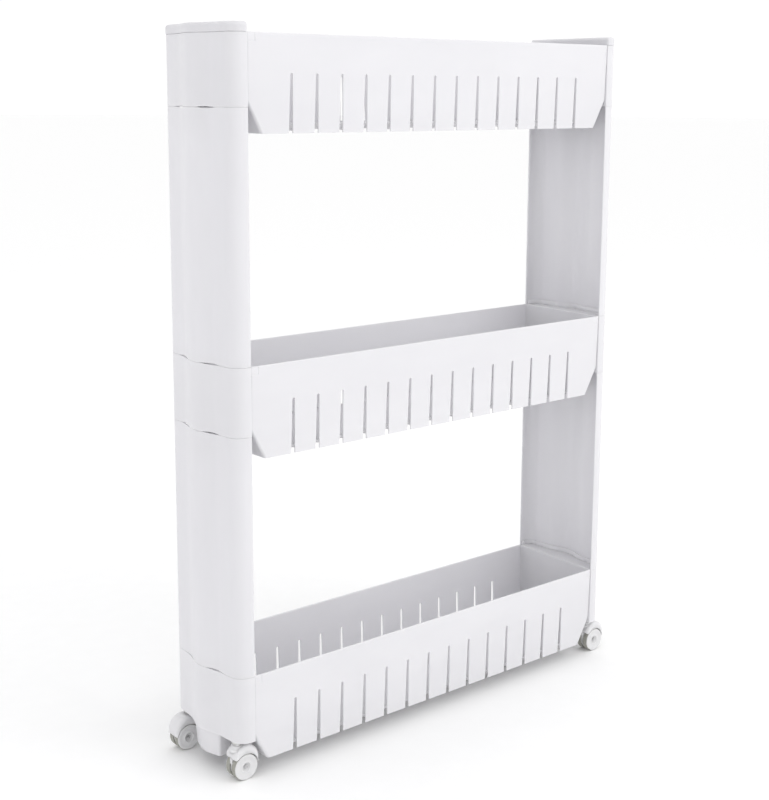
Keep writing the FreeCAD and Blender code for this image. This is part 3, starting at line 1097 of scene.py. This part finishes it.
    def plug_plan(self, inset: float) -> np.ndarray:
        """Plan of the plug: the face between its sides, rounded corners and a straight back.

        Args:
            inset: Distance inside the column's outline.

        Returns:
            Plan points, counter-clockwise.
        """
        slack = inset - self.plug_inset
        side = self.plug_half - slack
        back = self.end_x + 0.5 * MM + slack
        radius, face_points = 3.0 * MM, 20
        y = np.linspace(-(side - radius), side - radius, face_points)
        face = np.stack([self.outline.face(y) - inset, y], -1)
        front_x = face[0, 0] - radius
        low = arc((front_x, -side + radius), radius, -90, 0, 6)[:-1]
        back_low = arc((back + radius, -side + radius), radius, 180, 270, 5)
        half = np.vstack([back_low, low])
        return np.vstack([half, face, half[::-1] * MIRROR_Y])

    def build(self, palette: Palette) -> None:
        """Make the tray's pieces, dress them and let them stand for its CAD node.

        Args:
            palette: The finishes.
        """
        end = self.end_block()
        if self.tier != "top":
            end.join(self.seat_rib())
        floor = self.basin_floor().join(self.floor_ribs())
        palette.make(self.basin_wall(), self.node + "_basin_wall", Slot.TRAY, "cart", self.node)
        palette.make(floor, self.node + "_basin_floor", Slot.TRAY, "cart", self.node)
        for (word, block), (_, plug) in zip(end.both_ends(), self.end_plug().both_ends()):
            palette.make(block, f"{self.node}_end_{word}", Slot.TRAY, "cart", self.node)
            node = f"plug_{self.tier}_{word}"
            palette.make(plug, node + "_tube", Slot.TRAY, "cart", node)


# --- uprights and caps ---

@dataclass
class Upright:
    """Channel column between two trays.

    Attributes:
        level: Lower or upper, as in the CAD nodes' names.
        outline: Plan outline.
        notch: Finger gaps at both seams.
        wall: Wall thickness.
        soft: Radius of the upper and lower edges.
    """

    level: str
    outline: ColumnOutline
    notch: SeamNotch
    wall: float = 2.0 * MM
    soft: float = 0.5 * MM

    def channel(self) -> Shape:
        """The column at +X: a rounded wall section carried along the plan outline.

        The section is a tall rounded rectangle. Its inset gives the line of the outline that a
        point follows, and its ends give way at the finger gaps.

        Returns:
            The closed surface.
        """
        low, high = (corner[2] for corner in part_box(f"upright_{self.level}_right"))
        between = (*(low + SEAM_ROWS), *np.linspace(low, high, 8)[1:-1], *(high - SEAM_ROWS[::-1]))
        loop = rounded_loop(0.0, self.wall, low, high, self.soft, 3, between)
        lines = self.outline.channel(loop[:, 0], self.wall / 2)
        gap = self.notch.at(lines[0])
        z = np.repeat(loop[:, 1][:, None], lines.shape[1], 1)
        z = z + np.where(z < low + 2 * self.soft, gap, 0) - np.where(z > high - 2 * self.soft, gap, 0)
        points = np.concatenate([lines, z[..., None]], -1)
        return Shape().add(points, quads(*points.shape[:2], True, False))

    def build(self, palette: Palette) -> None:
        """Make both columns of this level with the palette's finishes."""
        palette.make_pair(self.channel(), "upright_" + self.level, "column", Slot.COLUMN)


@dataclass
class EndCap:
    """Rounded cover on an end of the top tray.

    Attributes:
        outline: Plan outline.
        overhang: How far the cap stands out past the column.
        edge: Radius of the upper edge.
        inner_corner: Radius of the two inner corners in plan.
    """

    outline: ColumnOutline
    overhang: float = 0.5 * MM
    edge: float = 3.0 * MM
    inner_corner: float = 2.0 * MM

    def cover(self) -> Shape:
        """The cap at +X: stacked outlines that round over at the top along a quarter circle."""
        low, high = (corner[2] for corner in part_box("end_cap_right"))
        soft = 0.4 * MM
        turn = np.radians(np.linspace(0, 90, 9))
        insets = np.concatenate([[soft, soft * 0.3, 0.0, 0.0, 0.0, 0.0], self.edge * (1 - np.cos(turn))])
        insets = insets - self.overhang
        crisp = [low + 1.0 * MM, low + 2.0 * MM, high - self.edge - 1.0 * MM]
        heights = np.concatenate([[low + 0.06 * MM, low + soft * 0.3, low + soft], crisp,
                                  high - self.edge * (1 - np.sin(turn))])
        plans = [self.outline.closed(inset, self.outline.free_edge + self.overhang, self.inner_corner)
                 for inset in insets]
        return layered(plans, heights.tolist())

    def build(self, palette: Palette) -> None:
        """Make both caps with the palette's finishes."""
        palette.make_pair(self.cover(), "end_cap", "cover", Slot.CAP)


# --- casters ---

@dataclass
class Caster:
    """Small twin-wheel swivel caster with a rounded hood.

    Attributes:
        corner: Corner of the cart, such as front_left.
        side: -1 at the -Y side, 1 at the +Y side.
        trail: Swivel axis to wheel axis.
        wheel_radius: Radius of the tread.
        wheel_width: Width of a wheel.
        tread: Thickness of the tread.
        web: Thickness of the hood's middle web.
        gap: Wheel face to web.
        hood_centre: Centre of the hood's round outline, from the swivel axis and the floor.
        hood_radius: Radius of that outline.
        hood_half: Half the hood's width.
        room_radius: Radius of the hollow round the wheels.
        shoulder: Radius of the hood's side edges.
        arch: Angles of the arch's leading and trailing ends about its centre, in degrees.
        arch_steps: Intervals from one to the other.
        lip: Least wall of the hood along its crown.
        edge_wall: Least wall along its side edges.
        pinch: Share of the wall that is left at the arch's rounded ends.
        pinch_steps: Intervals over which an end rounds off.
    """

    corner: str
    side: int
    trail: float = 5.0 * MM
    wheel_radius: float = 13.5 * MM
    wheel_width: float = 6.6 * MM
    tread: float = 1.7 * MM
    web: float = 3.0 * MM
    gap: float = 0.5 * MM
    hood_centre: tuple = (5.5 * MM, 21.5 * MM)
    hood_radius: float = 14.5 * MM
    hood_half: float = 9.2 * MM
    room_radius: float = 14.1 * MM
    shoulder: float = 3.4 * MM
    arch: tuple = (170.0, -22.0)
    arch_steps: int = 48
    lip: float = 0.9 * MM
    edge_wall: float = 0.35 * MM
    pinch: float = 0.4
    pinch_steps: float = 3.0

    def middle(self, part: str) -> tuple:
        """X and Y of the middle of a CAD node's box."""
        low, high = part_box(f"caster_{self.corner}_{part}")
        return (low[0] + high[0]) / 2, (low[1] + high[1]) / 2

    @property
    def way(self) -> int:
        """1 where the axle trails towards +X of the stem at rest, -1 where towards -X."""
        return 1 if self.middle("axle")[0] > self.middle("stem")[0] else -1

    def placed(self, shape: Shape) -> Shape:
        """Turn a shape that trails towards +X the way this caster does, and move it onto the stem's axis."""
        x, y = self.middle("stem")
        return (shape if self.way > 0 else shape.turned()).moved(x, y, 0.0)

    def hood_arch(self) -> Shape:
        """The arched hood over both wheels.

        A closed section across the wheels is carried round the hood's centre. Its outer side is
        the hood's circle less a rounded shoulder, and its inner side the circle round the wheels,
        reached along the same ray.

        Returns:
            The closed surface.
        """
        count = self.arch_steps + 1
        angle = np.linspace(*np.radians(self.arch), count)
        ray = np.stack([np.cos(angle), np.sin(angle)], -1)
        to_axle = np.array([self.trail, self.wheel_radius]) - np.array(self.hood_centre)
        along = ray @ to_axle
        inner = along + np.sqrt(along ** 2 - to_axle @ to_axle + self.room_radius ** 2)
        inner = np.minimum(inner, self.hood_radius - self.lip)
        turn = np.linspace(0, math.pi / 2, 6)
        flat = self.hood_half - self.shoulder
        across = np.concatenate([flat + self.shoulder * np.sin(turn), [self.hood_half]])
        drop = np.concatenate([self.shoulder * (1 - np.cos(turn)), [0.0]])
        crown = np.linspace(-flat, flat, 7)[1:-1]
        outer_y = np.concatenate([-across[-2::-1], crown, across[:-1]])
        outer_drop = np.concatenate([drop[-2::-1], 0.0 * crown, drop[:-1]])
        outer = np.maximum(self.hood_radius - outer_drop[None, :], inner[:, None] + self.edge_wall)
        inner_y = outer_y[::-1] * (1 - 0.3 * MM / self.hood_half)
        reach = np.concatenate([outer, np.repeat(inner[:, None], len(inner_y), 1)], axis=1)
        y = np.concatenate([outer_y, inner_y])
        from_end = np.minimum(np.arange(count), np.arange(count)[::-1])
        rounding = np.sin(np.clip(from_end / self.pinch_steps, 0, 1) * math.pi / 2)
        closing = self.pinch + (1 - self.pinch) * rounding
        middle = (self.hood_radius + inner) / 2
        reach = middle[:, None] + (reach - middle[:, None]) * closing[:, None]
        x = self.hood_centre[0] + reach * ray[:, :1]
        z = self.hood_centre[1] + reach * ray[:, 1:]
        points = np.stack([x, np.broadcast_to(y, x.shape), z], -1)
        ends = [strip_cap(0, len(y), True), strip_cap(self.arch_steps * len(y), len(y), False)]
        return Shape().add(points, np.vstack([quads(count, len(y), False, True)[:, ::-1], *ends]))

    def hood_web(self) -> Shape:
        """Middle web with soft edges, and the raised boss that grips the axle."""
        half, soft = self.web / 2, 0.5 * MM
        radius = self.hood_radius - 1.0 * MM
        disc = np.vstack([[[0.0, -half]], arc((radius - soft, -half + soft), soft, -90, 0, 3),
                          arc((radius - soft, half - soft), soft, 0, 90, 3), [[0.0, half]]])
        shape = revolve(disc, self.hood_centre[0], 0.0, self.hood_centre[1], 64, True)
        boss_half, edge, boss_radius = half + self.gap * 0.6, 0.2 * MM, 4.2 * MM
        boss = np.vstack([[[0.0, -boss_half]], arc((boss_radius, -boss_half + edge), edge, -90, 0, 2),
                          arc((boss_radius, boss_half - edge), edge, 0, 90, 2), [[0.0, boss_half]]])
        return shape.join(revolve(boss, self.trail, 0.0, self.wheel_radius, 40, True))

    def hood_boss(self) -> Shape:
        """Flared boss round the stem on top of the hood: a hollow curve from wide to narrow."""
        top, narrow, sweep, soft, tall = 36.0 * MM, 5.6 * MM, 3.2 * MM, 0.5 * MM, 9 * MM
        flare = arc((narrow + sweep, top - 0.6 * MM), sweep, 250, 180, 6)
        tip = arc((narrow - soft, top - soft), soft, 0, 90, 3)
        foot = [[0.0, top - tall], [narrow + sweep / 2, top - tall]]
        return revolve(np.vstack([foot, flare, tip, [[0.0, top]]]), 0.0, 0.0, 0.0, 48, False)

    def hub(self) -> Shape:
        """Wheel disc: a recessed centre, a raised ring round it and a soft side lip."""
        near = self.web / 2 + self.gap
        far = near + self.wheel_width
        rim = self.wheel_radius - self.tread
        lip = self.wheel_radius - 0.5 * MM
        bore, dish, recess, ring, bead, soft = (size * MM for size in (2.05, 0.45, 1.6, 5.2, 0.4, 0.6))
        profile = np.vstack([
            [[bore, near], [rim, near], [rim, far - 1.0 * MM], [lip, far - 1.0 * MM]],
            arc((lip - soft, far - soft), soft, 0, 90, 4),
            [[rim - 1.4 * MM, far], [rim - 2.2 * MM, far - dish], [ring + 1.0 * MM, far - dish]],
            arc((ring, far - bead), bead, 20, 160, 4),
            [[ring - 0.9 * MM, far - recess], [bore, far - recess]],
        ])
        return revolve(profile, self.trail, 0.0, self.wheel_radius, 72, True)

    def tread_band(self) -> Shape:
        """Tread: a band with round shoulders and two shallow bell-shaped grooves."""
        near = self.web / 2 + self.gap
        far = near + self.wheel_width - 1.0 * MM
        inner, outer, round_off = self.wheel_radius - self.tread, self.wheel_radius, 0.7 * MM
        h = np.linspace(near + round_off, far - round_off, 21)
        across = (h - h[0]) / (h[-1] - h[0])
        depth, spread = 0.35 * MM, 0.07
        groove = depth * sum(np.exp(-((across - place) / spread) ** 2) for place in (0.3, 0.7))
        profile = np.vstack([
            [[inner, near]],
            arc((outer - round_off, near + round_off), round_off, -90, 0, 4)[:-1],
            np.stack([outer - groove, h], -1),
            arc((outer - round_off, far - round_off), round_off, 0, 90, 4)[1:],
            [[inner, far]],
        ])
        return revolve(profile, self.trail, 0.0, self.wheel_radius, 96, True)

    def build(self, palette: Palette) -> None:
        """Make the hood and both wheels, and dress the stem, axle and socket.

        Args:
            palette: The finishes.
        """
        name = "caster_" + self.corner
        hood = self.placed(self.hood_arch().join(self.hood_web()).join(self.hood_boss()))
        palette.make(hood, name + "_hood_shell", Slot.CASTER, name, name + "_hood")
        outer_way = self.side * self.way
        rings = (("hub", self.hub(), Slot.WHEEL), ("tread", self.tread_band(), Slot.TREAD))
        for place, facing_way in (("inner", -outer_way), ("outer", outer_way)):
            body = f"wheel_{self.corner}_{place}"
            for part, shape, slot in rings:
                node = f"{name}_wheel_{place}_{part}"
                facing = shape if facing_way > 0 else shape.mirrored_y()
                palette.make(self.placed(facing), node + "_ring", slot, body, node)
        for part, slot in (("stem", Slot.STEEL), ("axle", Slot.STEEL), ("socket", Slot.SOCKET)):
            palette.dress_node(f"{name}_{part}", slot)


# --- studio ---

@dataclass
class Studio:
    """Pale floor, soft lights and the camera.

    Attributes:
        camera_at: Camera position.
        heading: Direction of view in plan, in degrees from +X towards +Y.
        dip: How far the view points below the horizon, in degrees.
        roll: Turn about the view, in degrees.
        lens: Focal length for a 36 mm sensor.
        shift: Upward shift of the frame.
        aim: The point that the lights face.
    """

    camera_at: tuple = (-0.9397, -1.0978, 0.6663)
    heading: float = 50.377
    dip: float = 9.856
    roll: float = 0.292
    lens: float = 61.37
    shift: float = -0.0875
    aim: tuple = (0.0, 0.0, 0.4)

    def camera(self) -> None:
        """Place the camera: its axes come from heading, dip and roll."""
        h, d, r = (math.radians(value) for value in (self.heading, self.dip, self.roll))
        ahead = np.array([math.cos(h) * math.cos(d), math.sin(h) * math.cos(d), -math.sin(d)])
        right = np.array([math.sin(h), -math.cos(h), 0.0])
        up = np.cross(right, ahead)
        right, up = (math.cos(r) * right + math.sin(r) * up, math.cos(r) * up - math.sin(r) * right)
        data = bpy.data.cameras.new("camera")
        data.lens = self.lens
        data.sensor_width = 36.0
        data.shift_y = self.shift
        data.clip_start = 0.02
        made = bpy.data.objects.new("camera", data)
        turn = Matrix(np.column_stack([right, up, -ahead]).tolist()).to_4x4()
        turn.translation = self.camera_at
        made.matrix_world = turn
        bpy.context.scene.collection.objects.link(made)
        bpy.context.scene.camera = made

    def floor(self) -> None:
        """Lay a wide round floor: rings of points at growing radii round the cart."""
        radius = np.array([0.0, 0.6, 1.5, 4.0, 12.0, 40.0])[:, None]
        a = np.linspace(0, 2 * math.pi, 48, endpoint=False)
        points = np.stack([radius * np.cos(a), radius * np.sin(a), 0.0 * radius * a], -1)
        made = Shape().add(points, quads(len(radius), len(a), False, True)[:, ::-1]).build("studio_floor")
        made.data.materials.append(StudioPaper().build())

    def soft_light(self, name: str, place: tuple, size: float, power: float, colour: tuple) -> None:
        """Hang a large square area light.

        Args:
            name: Name of the light.
            place: Its position.
            size: Side length.
            power: Watts.
            colour: Light colour.
        """
        data = bpy.data.lights.new(name, "AREA")
        data.size = size
        data.energy = power
        data.color = colour
        made = bpy.data.objects.new(name, data)
        away = np.array(place) - np.array(self.aim)
        away = away / np.linalg.norm(away)
        right = np.cross([0.0, 0.0, 1.0], away)
        right = right / np.linalg.norm(right)
        turn = Matrix(np.column_stack([right, np.cross(away, right), away]).tolist()).to_4x4()
        turn.translation = place
        made.matrix_world = turn
        bpy.context.scene.collection.objects.link(made)

    def lights(self) -> None:
        """Hang the soft lights and set the even studio surround."""
        self.soft_light("key_light", (1.1, -2.4, 2.2), 2.2, 23.0, (1.0, 1.0, 1.0))
        self.soft_light("left_fill", (-2.4, 1.6, 1.0), 1.2, 1.0, (0.45, 0.38, 1.0))
        world = bpy.data.worlds.new("studio_surround")
        world.use_nodes = True
        surround = world.node_tree.nodes["Background"]
        surround.inputs["Color"].default_value = (1.0, 1.0, 1.0, 1.0)
        surround.inputs["Strength"].default_value = 1.03
        bpy.context.scene.world = world
        bpy.context.scene.view_settings.view_transform = "Standard"

    def build(self) -> None:
        """Set up camera, floor and lights."""
        self.camera()
        self.floor()
        self.lights()


# --- the whole cart ---

def corners(bounds: tuple) -> list:
    """Return a box's two corners as plain lists of numbers."""
    return [[float(value) for value in corner] for corner in bounds]


def main() -> None:
    """Build every sub-assembly of the cart in order."""
    logging.basicConfig(level=logging.INFO, format="%(name)s %(message)s")
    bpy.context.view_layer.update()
    Studio().build()
    palette = Palette()
    outline, notch = ColumnOutline(), SeamNotch()
    for tier in ("bottom", "middle", "top"):
        Tray(tier, outline, notch).build(palette)
    for level in ("lower", "upper"):
        Upright(level, outline, notch).build(palette)
    EndCap(outline).build(palette)
    for depth_word, side in (("front", -1), ("rear", 1)):
        for end_word in ("left", "right"):
            Caster(f"{depth_word}_{end_word}", side).build(palette)


if __name__ == "__main__":
    main()
